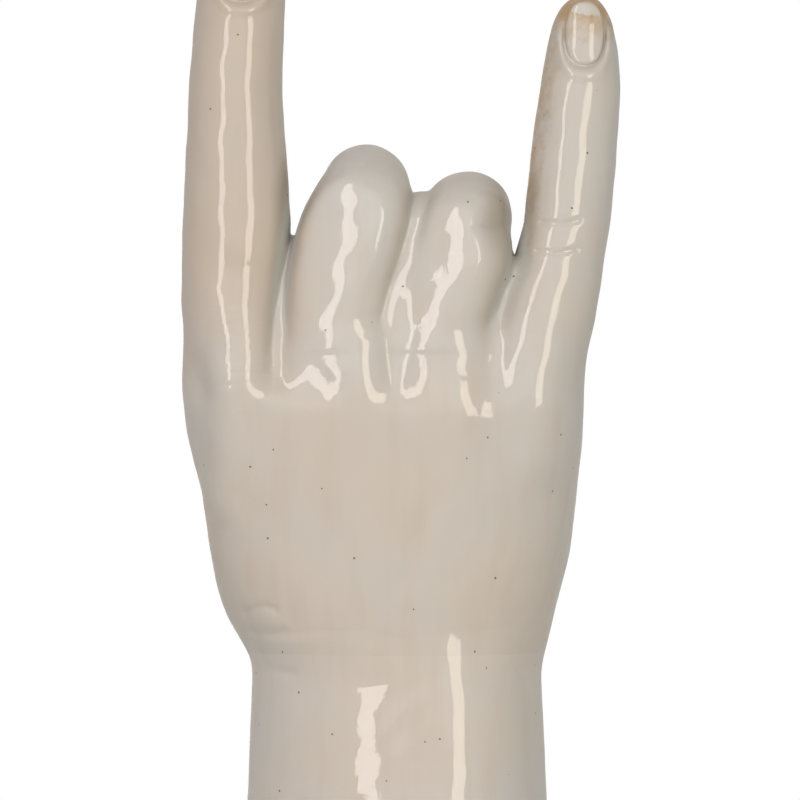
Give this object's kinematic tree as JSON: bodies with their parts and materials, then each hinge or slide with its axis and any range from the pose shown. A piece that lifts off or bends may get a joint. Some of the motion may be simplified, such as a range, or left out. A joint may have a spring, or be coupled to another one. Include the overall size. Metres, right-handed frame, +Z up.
{
  "type": "hand sculpture",
  "caption": "Hollow ceramic hand on a tapering forearm, fore and little fingers raised, middle fingers folded under the thumb, standing on a felt-padded foot.",
  "frame": {"origin": "middle of the foot, on the felt's underside, where the sculpture meets the surface it stands on", "axes": "+Z up along the forearm to the raised fingers, -Y out of the back of the hand, +Y out of the palm, -X towards the fore finger's side and +X towards the little finger's side"},
  "size_m": [0.1099, 0.0798, 0.392],
  "materials": {
    "glaze": "glossy greige glaze, pooled greenish in the grooves and browned at one fingertip",
    "bisque": "unglazed fired stoneware",
    "felt": "pressed wool felt"
  },
  "bodies": {
    "root": {"forearm": "glaze", "palm": "glaze", "index_finger": "glaze", "middle_finger": "glaze", "ring_finger": "glaze", "little_finger": "glaze", "thumb": "glaze", "base_disc": "bisque", "felt_base_pad": "felt"}
  },
  "joints": []
}
